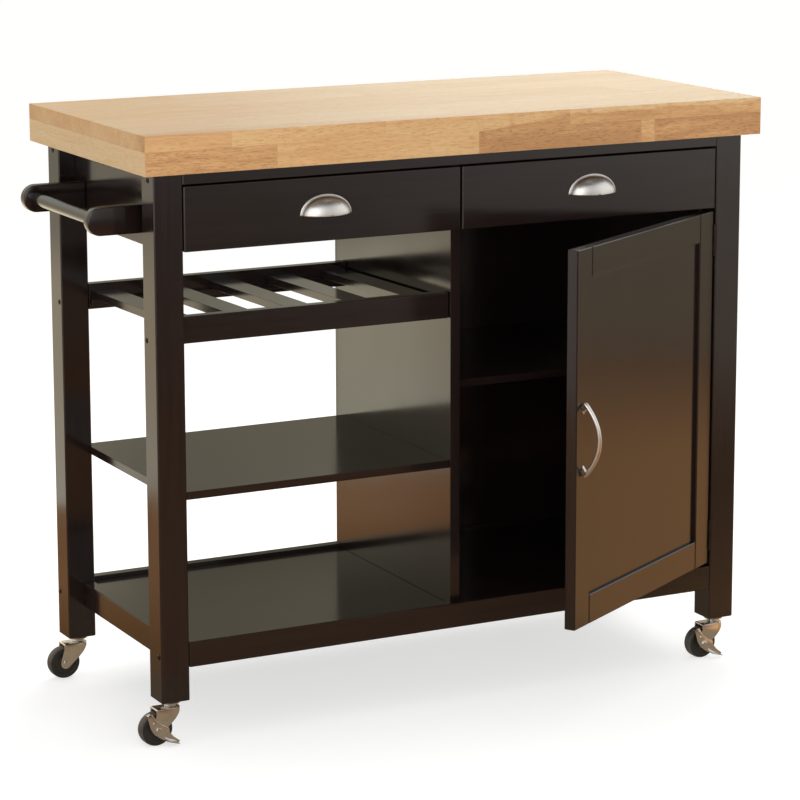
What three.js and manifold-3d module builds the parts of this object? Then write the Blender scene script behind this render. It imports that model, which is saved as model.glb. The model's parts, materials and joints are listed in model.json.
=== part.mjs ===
// Kitchen island cart: butcher-block top on a dark painted timber frame that rolls on four casters.
// Left bay: bottle rack, middle shelf and bottom panel, open at the front, side and back.
// Right bay: closed cabinet with one shelf and a framed door. Two drawers run above both bays.
// Millimetres, +Z up, -Y is the front, floor at Z = 0.
import * as THREE from "three";
import { mergeVertices } from "three/addons/utils/BufferGeometryUtils.js";
import Module from "manifold-3d";

const wasm = await Module();
wasm.setup();

// ---- driving dimensions ----
const HEIGHT = 915;
const TOP_WIDTH = 1045;
const TOP_DEPTH = 464;
const TOP_THICK = 58;
const LEG = 45;
const LEG_OUT_X = 501.5;
const LEG_OUT_Y = 210.5;
const LEG_FOOT = 68;
const BOARD = 18;
const THIN = 12;
const TOUCH = 0.3;
const EASE = 1;

const SIDE_SETBACK = 26.7;
const RAIL_LOW = 118.5;
const RAIL_HIGH = 157.2;
const PANEL_TOP = 150.5;
const APRON_LOW = 738;
const TOP_RAIL_THICK = 18;
const TOP_RAIL_DEPTH = 40;

const PARTITION = 16;
const PARTITION_FRONT = -190;
const PARTITION_BACK = 202;
const BACK_PANEL = 6;

const MID_SHELF_TOP = 378;
const MID_SHELF_HALF_DEPTH = 183;
const MID_SHELF_NOTCH = 4.5;
const CABINET_SHELF_TOP = 497;
const CABINET_SHELF_FRONT = -160;

const RACK_RAIL_HEIGHT = 40;
const RACK_RAIL_OUT = 185;
const RACK_FRONT_TOP = 641;
const RACK_REAR_TOP = 635.5;
const SLAT_WIDTH = 40;
const SLAT_PITCH = 99;
const SLAT_DROP = 10.5;
const SLAT_COUNT = 5;

const DRAWER_LOW = 740.5;
const DRAWER_HIGH = 836.3;
const DRAWER_GAP = 3;
const DRAWER_BOX_LOW = 752;
const DRAWER_BOX_HIGH = 826;
const DRAWER_BOX_BACK = 150;
const DRAWER_SIDE = 12;
const DRAWER_FLOOR = 5;
const RUNNER_SPACE = 12.4;
const PULL_HALF_WIDTH = 44;
const PULL_HEIGHT = 35;
const PULL_REACH = 24;
const PULL_BASE_Z = 776;

const DOOR_OPEN_DEG = 31;
const DOOR_LOW = 163.5;
const DOOR_HIGH = 736.5;
const DOOR_WIDTH = 449;
const DOOR_HINGE_X = 450.5;
const DOOR_STILE = 45;
const DOOR_RECESS = 5.5;
const DOOR_PANEL = 6;
const HINGE_X = 453.5;
const HINGE_Y = -211;
const HINGE_R = 2.4;
const HINGE_LENGTH = 50;
const HINGE_ZS = [210, 690];
const HANDLE_Z = 451;
const HANDLE_REACH = 31;
const HANDLE_HALF = 54;

const ARM_Y = 130;
const ARM_THICK = 18;
const ARM_HEIGHT = 42;
const ARM_Z = 782.5;
const ARM_REACH = 100;
const ROD_R = 10;

const WHEEL_R = 25.4;
const WHEEL_WIDTH = 18;
const CASTER_TRAIL = 25;
const CASTER_X = 479;
const CASTER_Y = 188;
const FORK_HALF_WIDTH = 12.5;
const FORK_SHEET = 2;
const FORK_TOP = 57;
const FORK_PLATE = 3;
const AXLE_R = 3;

// ---- derived positions ----
const LEG_IN_X = LEG_OUT_X - LEG;
const LEG_IN_Y = LEG_OUT_Y - LEG;
const TOP_LOW = HEIGHT - TOP_THICK;
const FRAME_TOP = TOP_LOW - TOUCH;
const SIDE_OUT_X = LEG_OUT_X - SIDE_SETBACK;
const SIDE_IN_X = SIDE_OUT_X - BOARD;
const SPAN_X = LEG_IN_X - TOUCH;
const SPAN_Y = LEG_IN_Y - TOUCH;
const BACK_RAIL_IN = LEG_OUT_Y - BOARD;
const PARTITION_SIDE = PARTITION / 2 + TOUCH;
const TOP_RAIL_LOW = FRAME_TOP - TOP_RAIL_THICK;

// ---- helpers ----
const cart = new THREE.Group();

const finishes = {
  blockwood: { color: 0xd9b384, roughness: 0.5, metalness: 0 },
  espresso: { color: 0x241a16, roughness: 0.35, metalness: 0 },
  drawerwood: { color: 0x2b201b, roughness: 0.6, metalness: 0 },
  nickel: { color: 0xb7b2aa, roughness: 0.32, metalness: 1 },
  bronze: { color: 0x1d1917, roughness: 0.4, metalness: 1 },
  zinc: { color: 0xc4c6c8, roughness: 0.22, metalness: 1 },
  tread: { color: 0x3a3735, roughness: 0.7, metalness: 0 },
};

function add(name, geometry, finish, parent = cart) {
  const mesh = new THREE.Mesh(geometry, new THREE.MeshStandardMaterial(finishes[finish]));
  mesh.name = name;
  parent.add(mesh);
  return mesh;
}

function solid(geometry) {
  const plain = geometry.clone();
  plain.deleteAttribute("normal");
  plain.deleteAttribute("uv");
  const merged = mergeVertices(plain, 1e-4);
  return new wasm.Manifold(
    new wasm.Mesh({
      numProp: 3,
      vertProperties: new Float32Array(merged.attributes.position.array),
      triVerts: new Uint32Array(merged.index.array),
    }),
  );
}

function geometryOf(manifold) {
  const mesh = manifold.getMesh();
  const geometry = new THREE.BufferGeometry();
  geometry.setAttribute("position", new THREE.BufferAttribute(mesh.vertProperties, 3));
  geometry.setIndex(new THREE.BufferAttribute(mesh.triVerts, 1));
  geometry.computeVertexNormals();
  return geometry;
}

function join(first, ...others) {
  return others.reduce((sum, next) => sum.add(next), first);
}

// A board with a small chamfer on every edge.
function board(x0, x1, y0, y1, z0, z1, ease = EASE) {
  const outline = new THREE.Shape([
    new THREE.Vector2(x0 + 2 * ease, y0 + ease),
    new THREE.Vector2(x1 - 2 * ease, y0 + ease),
    new THREE.Vector2(x1 - ease, y0 + 2 * ease),
    new THREE.Vector2(x1 - ease, y1 - 2 * ease),
    new THREE.Vector2(x1 - 2 * ease, y1 - ease),
    new THREE.Vector2(x0 + 2 * ease, y1 - ease),
    new THREE.Vector2(x0 + ease, y1 - 2 * ease),
    new THREE.Vector2(x0 + ease, y0 + 2 * ease),
  ]);
  const geometry = new THREE.ExtrudeGeometry(outline, {
    depth: z1 - z0 - 2 * ease,
    bevelEnabled: true,
    bevelSize: ease,
    bevelThickness: ease,
    bevelSegments: 1,
  });
  geometry.translate(0, 0, z0 + ease);
  return geometry;
}

function block(x0, x1, y0, y1, z0, z1) {
  const geometry = new THREE.BoxGeometry(x1 - x0, y1 - y0, z1 - z0);
  geometry.translate((x0 + x1) / 2, (y0 + y1) / 2, (z0 + z1) / 2);
  return geometry;
}

// Points drawn in the XY plane, extruded from z0 to z1.
function prismZ(points, z0, z1) {
  const shape = new THREE.Shape(points.map(([x, y]) => new THREE.Vector2(x, y)));
  const geometry = new THREE.ExtrudeGeometry(shape, { depth: z1 - z0, bevelEnabled: false });
  geometry.translate(0, 0, z0);
  return geometry;
}

// Points drawn as (x, z), extruded from y0 to y1.
function prismY(points, y0, y1) {
  const geometry = prismZ(points, -y1, -y0);
  geometry.rotateX(Math.PI / 2);
  return geometry;
}

// Points drawn as (y, z), extruded from x0 to x1.
function prismX(points, x0, x1) {
  const geometry = prismZ(points, x0, x1);
  geometry.applyMatrix4(
    new THREE.Matrix4().makeBasis(
      new THREE.Vector3(0, 1, 0),
      new THREE.Vector3(0, 0, 1),
      new THREE.Vector3(1, 0, 0),
    ),
  );
  return geometry;
}

function arc(cx, cy, r, from, to, steps) {
  return Array.from({ length: steps + 1 }, (_, i) => {
    const a = THREE.MathUtils.degToRad(from + ((to - from) * i) / steps);
    return [cx + r * Math.cos(a), cy + r * Math.sin(a)];
  });
}

// Radius and height pairs turned about the Z axis.
function turnedZ(profile, segments) {
  const geometry = new THREE.LatheGeometry(
    profile.map(([r, z]) => new THREE.Vector2(r, z)),
    segments,
  );
  geometry.rotateX(Math.PI / 2);
  return geometry;
}

function cylinderY(r, y0, y1, x, z, segments = 20) {
  const geometry = new THREE.CylinderGeometry(r, r, y1 - y0, segments);
  geometry.translate(x, (y0 + y1) / 2, z);
  return geometry;
}

function cylinderZ(r, z0, z1, x, y, segments = 20) {
  const geometry = new THREE.CylinderGeometry(r, r, z1 - z0, segments);
  geometry.rotateX(Math.PI / 2);
  geometry.translate(x, y, (z0 + z1) / 2);
  return geometry;
}

// ---- worktop ----
add(
  "worktop",
  board(-TOP_WIDTH / 2, TOP_WIDTH / 2, -TOP_DEPTH / 2, TOP_DEPTH / 2, TOP_LOW, HEIGHT, 1.5),
  "blockwood",
);

// ---- legs, each with a bore for its caster stem ----
const corners = [
  ["front_left", -1, -1],
  ["front_right", 1, -1],
  ["rear_left", -1, 1],
  ["rear_right", 1, 1],
];
for (const [where, sx, sy] of corners) {
  const xs = [sx * LEG_IN_X, sx * LEG_OUT_X].sort((a, b) => a - b);
  const ys = [sy * LEG_IN_Y, sy * LEG_OUT_Y].sort((a, b) => a - b);
  const post = solid(board(xs[0], xs[1], ys[0], ys[1], LEG_FOOT, FRAME_TOP));
  const bore = solid(cylinderZ(4.4, LEG_FOOT - 5, LEG_FOOT + 38, sx * CASTER_X, sy * CASTER_Y, 16));
  add("leg_" + where, geometryOf(post.subtract(bore)), "espresso");
}

// ---- top rails and aprons ----
const RAIL_BACK_EDGE = LEG_OUT_Y - TOP_RAIL_DEPTH;
add(
  "top_rail_front",
  board(-SPAN_X, SPAN_X, -LEG_OUT_Y, -RAIL_BACK_EDGE, TOP_RAIL_LOW, FRAME_TOP),
  "espresso",
);
add(
  "top_rail_rear",
  board(-SPAN_X, SPAN_X, RAIL_BACK_EDGE, LEG_OUT_Y, TOP_RAIL_LOW, FRAME_TOP),
  "espresso",
);
add(
  "apron_rear",
  board(-SPAN_X, SPAN_X, BACK_RAIL_IN, LEG_OUT_Y, APRON_LOW, TOP_RAIL_LOW - TOUCH),
  "espresso",
);
add("apron_left", board(-SIDE_OUT_X, -SIDE_IN_X, -SPAN_Y, SPAN_Y, APRON_LOW, FRAME_TOP), "espresso");
add(
  "side_panel_right",
  board(SIDE_IN_X, SIDE_OUT_X, -SPAN_Y, SPAN_Y, RAIL_LOW, FRAME_TOP),
  "espresso",
);

// ---- bottom rails and panel ----
add(
  "bottom_rail_front",
  board(-SPAN_X, SPAN_X, -LEG_OUT_Y, -BACK_RAIL_IN, RAIL_LOW, RAIL_HIGH),
  "espresso",
);
add(
  "bottom_rail_rear",
  board(-SPAN_X, SPAN_X, BACK_RAIL_IN, LEG_OUT_Y, RAIL_LOW, RAIL_HIGH),
  "espresso",
);
add(
  "bottom_rail_left",
  board(-SIDE_OUT_X, -SIDE_IN_X, -SPAN_Y, SPAN_Y, RAIL_LOW, RAIL_HIGH),
  "espresso",
);
const PANEL_HALF_DEPTH = BACK_RAIL_IN - TOUCH;
add(
  "bottom_panel",
  board(-SPAN_X, SPAN_X, -PANEL_HALF_DEPTH, PANEL_HALF_DEPTH, PANEL_TOP - THIN, PANEL_TOP, 0.5),
  "espresso",
);

// ---- centre partition, notched over the rear rail and under the rear apron ----
add(
  "centre_partition",
  prismX(
    [
      [PARTITION_FRONT, PANEL_TOP + TOUCH],
      [BACK_RAIL_IN - TOUCH, PANEL_TOP + TOUCH],
      [BACK_RAIL_IN - TOUCH, RAIL_HIGH + TOUCH],
      [PARTITION_BACK, RAIL_HIGH + TOUCH],
      [PARTITION_BACK, APRON_LOW - TOUCH],
      [BACK_RAIL_IN - TOUCH, APRON_LOW - TOUCH],
      [BACK_RAIL_IN - TOUCH, TOP_RAIL_LOW - TOUCH],
      [PARTITION_FRONT, TOP_RAIL_LOW - TOUCH],
    ],
    -PARTITION / 2,
    PARTITION / 2,
  ),
  "espresso",
);

// ---- cabinet back and shelf ----
add(
  "cabinet_back",
  block(
    -PARTITION / 2,
    SPAN_X,
    PARTITION_BACK + TOUCH,
    PARTITION_BACK + TOUCH + BACK_PANEL,
    RAIL_HIGH + TOUCH,
    APRON_LOW - TOUCH,
  ),
  "espresso",
);
add(
  "cabinet_shelf",
  board(
    PARTITION_SIDE,
    SPAN_X,
    CABINET_SHELF_FRONT,
    PARTITION_BACK - TOUCH,
    CABINET_SHELF_TOP - THIN,
    CABINET_SHELF_TOP,
    0.5,
  ),
  "espresso",
);

// ---- middle shelf of the left bay, notched round the legs ----
const notchX = -SPAN_X - MID_SHELF_NOTCH;
add(
  "middle_shelf",
  prismZ(
    [
      [notchX, -SPAN_Y],
      [-SPAN_X, -SPAN_Y],
      [-SPAN_X, -MID_SHELF_HALF_DEPTH],
      [-PARTITION_SIDE, -MID_SHELF_HALF_DEPTH],
      [-PARTITION_SIDE, MID_SHELF_HALF_DEPTH],
      [-SPAN_X, MID_SHELF_HALF_DEPTH],
      [-SPAN_X, SPAN_Y],
      [notchX, SPAN_Y],
    ],
    MID_SHELF_TOP - THIN,
    MID_SHELF_TOP,
  ),
  "espresso",
);

// ---- bottle rack: two cross rails and slats that fall slightly towards the back ----
const RACK_RAIL_IN = RACK_RAIL_OUT - BOARD;
add(
  "rack_rail_front",
  board(
    -SPAN_X,
    -PARTITION_SIDE,
    -RACK_RAIL_OUT,
    -RACK_RAIL_IN,
    RACK_FRONT_TOP - RACK_RAIL_HEIGHT,
    RACK_FRONT_TOP,
  ),
  "espresso",
);
add(
  "rack_rail_rear",
  board(
    -SPAN_X,
    -PARTITION_SIDE,
    RACK_RAIL_IN,
    RACK_RAIL_OUT,
    RACK_REAR_TOP - RACK_RAIL_HEIGHT,
    RACK_REAR_TOP,
  ),
  "espresso",
);
const slatEnd = RACK_RAIL_IN - TOUCH;
const slatFront = RACK_FRONT_TOP - SLAT_DROP;
const slatRear = RACK_REAR_TOP - SLAT_DROP;
const bayCentre = -(SPAN_X + PARTITION_SIDE) / 2;
for (let i = 0; i < SLAT_COUNT; i += 1) {
  const cx = bayCentre + (i - (SLAT_COUNT - 1) / 2) * SLAT_PITCH;
  add(
    "rack_slat_" + (i + 1),
    prismX(
      [
        [-slatEnd, slatFront - THIN],
        [slatEnd, slatRear - THIN],
        [slatEnd, slatRear],
        [-slatEnd, slatFront],
      ],
      cx - SLAT_WIDTH / 2,
      cx + SLAT_WIDTH / 2,
    ),
    "espresso",
  );
}

// ---- towel rail on the left apron ----
const armTip = -(SIDE_OUT_X + ARM_REACH - ARM_HEIGHT / 2);
for (const [where, side] of [
  ["front", -1],
  ["rear", 1],
]) {
  const outline = [
    [-(SIDE_OUT_X + TOUCH), ARM_Z - ARM_HEIGHT / 2],
    [-(SIDE_OUT_X + TOUCH), ARM_Z + ARM_HEIGHT / 2],
    ...arc(armTip, ARM_Z, ARM_HEIGHT / 2, 90, 270, 14),
  ];
  const y0 = side * ARM_Y - ARM_THICK / 2;
  add("towel_arm_" + where, prismY(outline, y0, y0 + ARM_THICK), "espresso");
}
const rodEnd = ARM_Y - ARM_THICK / 2 - TOUCH;
add("towel_rod", cylinderY(ROD_R, -rodEnd, rodEnd, armTip, ARM_Z, 24), "espresso");

// ---- drawers ----
// Quarter-shell pull: upper front quarter of an ellipsoid, hollow, open below for the fingers.
function cupPull(cx, faceY) {
  const dome = (rx, ry, rz) => {
    const g = new THREE.SphereGeometry(1, 28, 14);
    g.rotateX(Math.PI / 2);
    g.scale(rx, ry, rz);
    g.translate(cx, faceY, PULL_BASE_Z);
    return solid(g);
  };
  const reach = 2 * PULL_HALF_WIDTH;
  const front = solid(
    block(cx - reach, cx + reach, faceY - reach, faceY - TOUCH, PULL_BASE_Z, PULL_BASE_Z + reach),
  );
  const shell = dome(PULL_HALF_WIDTH, PULL_REACH, PULL_HEIGHT)
    .subtract(dome(PULL_HALF_WIDTH - 2, PULL_REACH - 2, PULL_HEIGHT - 2))
    .intersect(front);
  return geometryOf(shell);
}

for (const [side, sign] of [
  ["left", -1],
  ["right", 1],
]) {
  const name = "drawer_" + side + "_";
  const frontXs = [sign * (DRAWER_GAP / 2), sign * (LEG_IN_X - 2)].sort((a, b) => a - b);
  const boxXs = [
    sign * (PARTITION / 2 + RUNNER_SPACE),
    sign * (SIDE_IN_X - RUNNER_SPACE),
  ].sort((a, b) => a - b);
  const boxFront = -LEG_OUT_Y + BOARD + TOUCH;
  add(
    name + "front",
    board(frontXs[0], frontXs[1], -LEG_OUT_Y, -LEG_OUT_Y + BOARD, DRAWER_LOW, DRAWER_HIGH),
    "espresso",
  );
  const tray = solid(
    block(boxXs[0], boxXs[1], boxFront, DRAWER_BOX_BACK, DRAWER_BOX_LOW, DRAWER_BOX_HIGH),
  );
  const hollow = solid(
    block(
      boxXs[0] + DRAWER_SIDE,
      boxXs[1] - DRAWER_SIDE,
      boxFront - 10,
      DRAWER_BOX_BACK - DRAWER_SIDE,
      DRAWER_BOX_LOW - 10,
      DRAWER_BOX_HIGH + 10,
    ),
  );
  add(name + "sides", geometryOf(tray.subtract(hollow)), "drawerwood");
  add(
    name + "floor",
    block(
      boxXs[0] + DRAWER_SIDE + TOUCH,
      boxXs[1] - DRAWER_SIDE - TOUCH,
      boxFront,
      DRAWER_BOX_BACK - DRAWER_SIDE - TOUCH,
      DRAWER_BOX_LOW + 4,
      DRAWER_BOX_LOW + 4 + DRAWER_FLOOR,
    ),
    "drawerwood",
  );
  add(name + "pull", cupPull((frontXs[0] + frontXs[1]) / 2, -LEG_OUT_Y), "nickel");
}

// ---- door, built closed about its hinge line and then swung open ----
const door = new THREE.Group();
door.position.set(HINGE_X, HINGE_Y, 0);
door.rotation.z = THREE.MathUtils.degToRad(DOOR_OPEN_DEG);
cart.add(door);

const doorRight = DOOR_HINGE_X - HINGE_X;
const doorLeft = doorRight - DOOR_WIDTH;
const doorFace = -LEG_OUT_Y - HINGE_Y;
const doorBack = doorFace + BOARD;
add(
  "door_stile_hinge",
  board(doorRight - DOOR_STILE, doorRight, doorFace, doorBack, DOOR_LOW, DOOR_HIGH),
  "espresso",
  door,
);
add(
  "door_stile_free",
  board(doorLeft, doorLeft + DOOR_STILE, doorFace, doorBack, DOOR_LOW, DOOR_HIGH),
  "espresso",
  door,
);
const railXs = [doorLeft + DOOR_STILE + TOUCH, doorRight - DOOR_STILE - TOUCH];
add(
  "door_rail_top",
  board(railXs[0], railXs[1], doorFace, doorBack, DOOR_HIGH - DOOR_STILE, DOOR_HIGH),
  "espresso",
  door,
);
add(
  "door_rail_bottom",
  board(railXs[0], railXs[1], doorFace, doorBack, DOOR_LOW, DOOR_LOW + DOOR_STILE),
  "espresso",
  door,
);
add(
  "door_panel",
  block(
    railXs[0],
    railXs[1],
    doorFace + DOOR_RECESS,
    doorFace + DOOR_RECESS + DOOR_PANEL,
    DOOR_LOW + DOOR_STILE + TOUCH,
    DOOR_HIGH - DOOR_STILE - TOUCH,
  ),
  "espresso",
  door,
);

// Bow handle: an arched bar on two short posts.
const handleX = doorLeft + 21;
const bowRise = HANDLE_REACH - 8;
const bow = new THREE.QuadraticBezierCurve3(
  new THREE.Vector3(handleX, doorFace - 5, HANDLE_Z - HANDLE_HALF),
  new THREE.Vector3(handleX, doorFace - 5 - 2 * bowRise, HANDLE_Z),
  new THREE.Vector3(handleX, doorFace - 5, HANDLE_Z + HANDLE_HALF),
);
const barSection = new THREE.Shape(
  arc(0, 0, 1, 0, 324, 9).map(([u, v]) => new THREE.Vector2(2.6 * u, 4 * v)),
);
const bar = solid(
  new THREE.ExtrudeGeometry(barSection, { steps: 16, bevelEnabled: false, extrudePath: bow }),
);
const posts = [-1, 1].map((end) =>
  solid(
    cylinderY(3.5, doorFace - 9, doorFace - TOUCH, handleX, HANDLE_Z + end * (HANDLE_HALF - 5), 14),
  ),
);
add("door_handle", geometryOf(join(bar, ...posts)), "nickel", door);

// Butt hinges in the gap between the door and the leg. The frame leaf carries the pin.
HINGE_ZS.forEach((z, i) => {
  const low = z - HINGE_LENGTH / 2;
  const third = HINGE_LENGTH / 3;
  const leafY0 = 2.7;
  const leafY1 = 16;
  const barrel = (z0, z1) => solid(cylinderZ(HINGE_R, z0, z1, 0, 0, 16));
  const middleGap = 0.4;
  const doorLeaf = join(
    solid(block(doorRight + TOUCH, doorRight + TOUCH + 1.2, leafY0, leafY1, low, low + HINGE_LENGTH)),
    solid(
      block(doorRight + TOUCH, -0.4, -1.2, leafY0 + 0.6, low + third + middleGap, low + 2 * third - middleGap),
    ),
    barrel(low + third + middleGap, low + 2 * third - middleGap),
  ).subtract(solid(cylinderZ(1.5, low - 1, low + HINGE_LENGTH + 1, 0, 0, 12)));
  add("hinge_" + (i + 1) + "_door_leaf", geometryOf(doorLeaf), "bronze", door);

  const legFace = LEG_IN_X - HINGE_X - TOUCH;
  const frameLeaf = join(
    solid(block(legFace - 1.2, legFace, leafY0, leafY1, low, low + HINGE_LENGTH)),
    solid(block(0.4, legFace, -1.2, leafY0 + 0.6, low, low + third)),
    solid(block(0.4, legFace, -1.2, leafY0 + 0.6, low + 2 * third, low + HINGE_LENGTH)),
    barrel(low, low + third),
    barrel(low + 2 * third, low + HINGE_LENGTH),
    solid(cylinderZ(1.2, low, low + HINGE_LENGTH, 0, 0, 12)),
  );
  const leaf = add("hinge_" + (i + 1) + "_frame_leaf", geometryOf(frameLeaf), "bronze");
  leaf.position.set(HINGE_X, HINGE_Y, 0);
});

// ---- casters ----
const axleX = -CASTER_TRAIL;
const axleZ = WHEEL_R;

// Stem, race and king pin with its riveted end, all turned about the swivel axis.
function casterSeat() {
  return turnedZ(
    [
      [0, 51.8],
      [5, 51.8],
      [5.5, 52.4],
      [5.5, 53.6],
      [3.2, 53.6],
      [3.2, FORK_TOP + 0.4],
      [12, FORK_TOP + 0.4],
      [13.5, 60],
      [13.5, 63.5],
      [15, 64.5],
      [15, LEG_FOOT - TOUCH],
      [4, LEG_FOOT - TOUCH],
      [4, 103],
      [3.2, 104],
      [0, 104],
    ],
    20,
  );
}

function stadium(half, left, right, z0, z1) {
  return solid(
    prismZ([[left, -half], ...arc(right - half, 0, half, -90, 90, 12), [left, half]], z0, z1),
  );
}

// Folded yoke: a top plate with a rounded nose and two cheeks that slope back to the axle.
function casterFork(braked) {
  const cheek = [
    [axleX - 2, FORK_TOP],
    [axleX - 2, 50],
    [axleX - 7.5, 31],
    ...arc(axleX, axleZ, 8.5, 180, 320, 9),
    [-1, 35.6],
    [14, 52],
    [14, FORK_TOP],
  ];
  const outer = solid(prismY(cheek, -20, 20)).intersect(
    stadium(FORK_HALF_WIDTH, -60, 14, 0, FORK_TOP),
  );
  const inner = stadium(
    FORK_HALF_WIDTH - FORK_SHEET,
    -70,
    14 - FORK_SHEET,
    -5,
    FORK_TOP - FORK_PLATE,
  );
  const kingHole = solid(cylinderZ(3.6, 40, 70, 0, 0, 20));
  const nut = braked ? FORK_HALF_WIDTH + 2.6 : FORK_HALF_WIDTH;
  const pin = cylinderY(AXLE_R, -nut - 1, FORK_HALF_WIDTH + 1, axleX, axleZ, 16);
  const headFront = cylinderY(5, -nut - 2.4, -nut, axleX, axleZ, 6);
  const headBack = cylinderY(4.6, FORK_HALF_WIDTH - 0.5, FORK_HALF_WIDTH + 1.8, axleX, axleZ, 16);
  return geometryOf(
    join(outer.subtract(inner).subtract(kingHole), solid(pin), solid(headFront), solid(headBack)),
  );
}

// Wheel with a rounded tread, a dished hub and a plain bore.
function casterWheel() {
  const half = WHEEL_WIDTH / 2;
  const profile = [
    [AXLE_R + 0.3, -half],
    [8, -half],
    [9, -half + 2],
    [17.5, -half + 2],
    [18.5, -half + 0.6],
    [23.4, -half + 0.8],
    [25, -half + 3],
    [WHEEL_R, 0],
    [25, half - 3],
    [23.4, half - 0.8],
    [18.5, half - 0.6],
    [17.5, half - 2],
    [9, half - 2],
    [8, half],
    [AXLE_R + 0.3, half],
    [AXLE_R + 0.3, -half],
  ];
  const geometry = new THREE.LatheGeometry(
    profile.map(([r, y]) => new THREE.Vector2(r, y)),
    32,
  );
  geometry.translate(axleX, 0, axleZ);
  return geometryOf(solid(geometry));
}

// Foot lever beside the fork: pivots on the axle, with a shoe over the tread and a bent pedal.
function brakeLever() {
  const y1 = -FORK_HALF_WIDTH - 0.4;
  const y0 = y1 - 1.8;
  const at = (points) => points.map(([x, z]) => [axleX + x, axleZ + z]);
  const plate = [
    [-10.5, 27],
    [-17, 24.5],
    [-15.5, 14],
    [-13.5, 6],
    [-10, -1],
    [-5, -6.5],
    [0, -10.5],
    [7.5, -15.6],
    [12, -15],
    [19, -18],
    [31, -22],
    [33.5, -19.5],
    [24, -12],
    [18, -5],
    [16.5, 2.5],
    [5.6, 8],
    [-3, 15.5],
  ];
  const pedal = [
    [10, -16],
    [19, -18.8],
    [30, -22],
    [29.6, -20.4],
    [19, -17],
    [10.5, -14.4],
  ];
  const shoe = [...arc(0, 0, 26.9, 114, 126, 3), ...arc(0, 0, 28.7, 126, 114, 3)];
  return geometryOf(
    join(
      solid(prismY(at(plate), y0, y1)),
      solid(prismY(at(pedal), y0 - 9, y0 + 0.5)),
      solid(prismY(at(shoe), y0, 6)),
    ).subtract(solid(cylinderY(AXLE_R + 0.4, -40, 40, axleX, axleZ, 16))),
  );
}

for (const [where, sx, sy] of corners) {
  const caster = new THREE.Group();
  caster.position.set(sx * CASTER_X, sy * CASTER_Y, 0);
  cart.add(caster);
  const braked = sy < 0;
  add("caster_" + where + "_seat", casterSeat(), "zinc", caster);
  add("caster_" + where + "_fork", casterFork(braked), "zinc", caster);
  add("caster_" + where + "_wheel", casterWheel(), "tread", caster);
  if (braked) add("caster_" + where + "_brake", brakeLever(), "zinc", caster);
}

// ---- origin at the bottom centre of the whole object ----
cart.updateMatrixWorld(true);
const whole = new THREE.Box3().setFromObject(cart, true);
const part = new THREE.Group();
cart.position.set(-(whole.min.x + whole.max.x) / 2, -(whole.min.y + whole.max.y) / 2, -whole.min.z);
part.add(cart);
part.updateMatrixWorld(true);

export default part;
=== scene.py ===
"""Looks for the kitchen island cart: lacquered frame, butcher-block top, nickel pulls, zinc casters."""

import json
import math
import random

import bmesh
import bpy
from mathutils import Matrix, Vector


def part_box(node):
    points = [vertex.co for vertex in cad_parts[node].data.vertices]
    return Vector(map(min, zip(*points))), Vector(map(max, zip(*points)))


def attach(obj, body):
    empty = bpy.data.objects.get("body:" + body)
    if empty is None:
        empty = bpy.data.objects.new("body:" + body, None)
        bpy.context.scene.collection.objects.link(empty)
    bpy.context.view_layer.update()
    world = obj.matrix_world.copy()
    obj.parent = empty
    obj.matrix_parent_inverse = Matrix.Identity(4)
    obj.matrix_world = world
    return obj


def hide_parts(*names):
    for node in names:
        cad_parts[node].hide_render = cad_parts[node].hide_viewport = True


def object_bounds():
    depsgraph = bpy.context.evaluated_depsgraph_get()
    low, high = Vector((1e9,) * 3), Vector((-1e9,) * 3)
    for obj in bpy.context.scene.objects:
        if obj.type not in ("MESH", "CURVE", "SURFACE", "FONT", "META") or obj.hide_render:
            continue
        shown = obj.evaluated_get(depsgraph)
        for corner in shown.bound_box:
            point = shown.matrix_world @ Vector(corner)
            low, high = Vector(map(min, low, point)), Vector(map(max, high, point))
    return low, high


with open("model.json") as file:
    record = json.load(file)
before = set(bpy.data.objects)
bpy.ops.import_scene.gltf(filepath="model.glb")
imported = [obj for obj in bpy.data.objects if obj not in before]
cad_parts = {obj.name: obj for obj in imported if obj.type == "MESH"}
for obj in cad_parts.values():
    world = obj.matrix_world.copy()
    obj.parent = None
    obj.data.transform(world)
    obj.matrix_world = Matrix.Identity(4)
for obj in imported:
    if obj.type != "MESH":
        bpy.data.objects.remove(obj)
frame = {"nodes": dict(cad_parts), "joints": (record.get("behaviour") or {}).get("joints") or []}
cad_low, cad_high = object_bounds()
MM = 0.001
joints = {j["name"]: j for j in frame["joints"]}
CORNERS = ("front_left", "front_right", "rear_left", "rear_right")


# ---------------------------------------------------------------- node helpers
def new_material(name):
    """An empty node material with a Principled shader wired to its output."""
    mat = bpy.data.materials.new(name)
    mat.use_nodes = True
    mat.node_tree.nodes.clear()
    out = mat.node_tree.nodes.new("ShaderNodeOutputMaterial")
    shader = mat.node_tree.nodes.new("ShaderNodeBsdfPrincipled")
    mat.node_tree.links.new(shader.outputs[0], out.inputs[0])
    return mat, mat.node_tree, shader


def node(tree, kind, **values):
    made = tree.nodes.new(kind)
    for key, value in values.items():
        setattr(made, key, value)
    return made


def link(tree, source, target):
    tree.links.new(source, target)


def maths(tree, op, a, b=None, c=None):
    """A Math node; a, b and c are sockets or plain numbers."""
    made = node(tree, "ShaderNodeMath", operation=op)
    for i, value in enumerate((a, b, c)):
        if value is None:
            continue
        if hasattr(value, "is_linked"):
            link(tree, value, made.inputs[i])
        else:
            made.inputs[i].default_value = value
    return made.outputs[0]


def scaled(tree, vector, scale, rotation=(0, 0, 0)):
    made = node(tree, "ShaderNodeMapping")
    link(tree, vector, made.inputs["Vector"])
    made.inputs["Scale"].default_value = scale
    made.inputs["Rotation"].default_value = rotation
    return made.outputs[0]


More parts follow.
